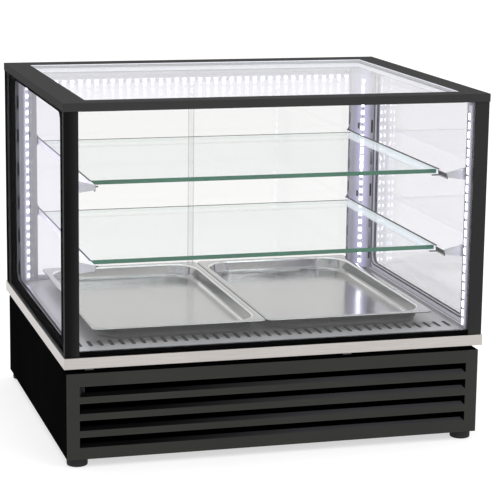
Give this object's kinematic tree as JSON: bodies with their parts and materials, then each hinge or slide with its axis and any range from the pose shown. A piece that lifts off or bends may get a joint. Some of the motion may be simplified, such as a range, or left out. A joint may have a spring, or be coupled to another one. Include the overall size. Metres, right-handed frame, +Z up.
{
  "type": "hot food display case",
  "caption": "Counter-top heated display case: glazed box with glass shelves on slotted uprights, gastronorm pans, stainless band and louvred black base.",
  "frame": {"origin": "on the floor, under the centre of the case's outline", "axes": "+X the customer's right, +Y towards the operator's sliding doors, +Z up"},
  "size_m": [0.785, 0.65, 0.65],
  "materials": {
    "black_coat": "satin black powder coat",
    "graphite_coat": "satin graphite powder coat",
    "stainless": "brushed",
    "galvanised": "plain galvanised sheet",
    "element_sheath": "oxidised steel sheath",
    "aluminium": "satin anodised",
    "clear_glass": "clear float glass, green at the edges",
    "rubber": "matte",
    "light_strip": "cool white light strip",
    "lamp_red": "translucent red",
    "rocker_red": "gloss",
    "white_plastic": "satin white",
    "black_plastic": "fine satin"
  },
  "bodies": {
    "cabinet": {"band_frame": "stainless", "base_shell": "black_coat", "cable_gland": "black_plastic", "control_panel": "black_coat", "deck_plate": "stainless", "door_header": "white_plastic", "door_sill": "aluminium", "fan_housing": "black_plastic", "foot_front_left": "rubber", "foot_front_right": "rubber", "foot_rear_left": "rubber", "foot_rear_right": "rubber", "front_glass": "clear_glass", "front_sill": "black_coat", "heating_element": "element_sheath", "hot_air_box": "galvanised", "indicator_lamp": "lamp_red", "led_driver": "aluminium", "light_front_left": "light_strip", "light_front_right": "light_strip", "light_header": "light_strip", "light_rear_left": "light_strip", "light_rear_right": "light_strip", "louvre_panel": "graphite_coat", "post_front_left": "graphite_coat", "post_front_right": "graphite_coat", "post_rear_left": "black_coat", "post_rear_right": "black_coat", "side_left_border": "black_coat", "side_left_glass_inner": "clear_glass", "side_left_glass_outer": "clear_glass", "side_right_border": "black_coat", "side_right_glass_inner": "clear_glass", "side_right_glass_outer": "clear_glass", "switch_housing": "black_plastic", "terminal_block": "white_plastic", "thermostat_body": "galvanised", "top_frame": "graphite_coat", "top_glass_inner": "clear_glass", "top_glass_outer": "clear_glass", "upright_front_left": "aluminium", "upright_front_right": "aluminium", "upright_rear_left": "aluminium", "upright_rear_right": "aluminium"},
    "door_left": {"door_glass_left": "clear_glass", "door_pull_left": "aluminium"},
    "door_right": {"door_glass_right": "clear_glass", "door_pull_right": "aluminium"},
    "shelf_rails_lower": {"shelf_rail_lower_left": "aluminium", "shelf_rail_lower_right": "aluminium"},
    "shelf_rails_upper": {"shelf_rail_upper_left": "aluminium", "shelf_rail_upper_right": "aluminium"},
    "shelf_lower": {"shelf_glass_lower": "clear_glass"},
    "shelf_upper": {"shelf_glass_upper": "clear_glass"},
    "pan_left": {"pan_left": "stainless"},
    "pan_right": {"pan_right": "stainless"},
    "thermostat_knob": {"thermostat_knob": "black_plastic"},
    "power_rocker": {"power_rocker": "rocker_red"},
    "light_rocker": {"light_rocker": "black_plastic"},
    "fan_impeller": {"fan_impeller": "black_plastic"}
  },
  "joints": [
    {"name": "door_left_slide", "type": "slide", "parent": "cabinet", "child": "door_left", "axis": [1, 0, 0], "range_m": [0, 0.33]},
    {"name": "door_right_slide", "type": "slide", "parent": "cabinet", "child": "door_right", "axis": [-1, 0, 0], "range_m": [0, 0.33]},
    {"name": "shelf_rails_lower_unhook", "type": "slide", "parent": "cabinet", "child": "shelf_rails_lower", "axis": [0, 0, 1], "range_m": [0, 0.006]},
    {"name": "shelf_rails_upper_unhook", "type": "slide", "parent": "cabinet", "child": "shelf_rails_upper", "axis": [0, 0, 1], "range_m": [0, 0.006]},
    {"name": "shelf_lower_lift", "type": "slide", "parent": "shelf_rails_lower", "child": "shelf_lower", "axis": [0, 0, 1], "range_m": [0, 0.06]},
    {"name": "shelf_upper_lift", "type": "slide", "parent": "shelf_rails_upper", "child": "shelf_upper", "axis": [0, 0, 1], "range_m": [0, 0.06]},
    {"name": "pan_left_lift", "type": "slide", "parent": "cabinet", "child": "pan_left", "axis": [0, 0, 1], "range_m": [0, 0.08]},
    {"name": "pan_right_lift", "type": "slide", "parent": "cabinet", "child": "pan_right", "axis": [0, 0, 1], "range_m": [0, 0.08]},
    {"name": "thermostat_turn", "type": "hinge", "parent": "cabinet", "child": "thermostat_knob", "pos_m": [-0.215, 0.3145, 0.11], "axis": [0, -1, 0], "range_deg": [0, 270]},
    {"name": "power_rocker_tilt", "type": "hinge", "parent": "cabinet", "child": "power_rocker", "pos_m": [-0.321, 0.3045, 0.11], "axis": [1, 0, 0], "range_deg": [0, 16]},
    {"name": "light_rocker_tilt", "type": "hinge", "parent": "cabinet", "child": "light_rocker", "pos_m": [-0.299, 0.3045, 0.11], "axis": [1, 0, 0], "range_deg": [0, 16]},
    {"name": "fan_spin", "type": "hinge", "parent": "cabinet", "child": "fan_impeller", "pos_m": [0, 0.09, 0.13], "axis": [0, 0, 1], "continuous": true}
  ]
}
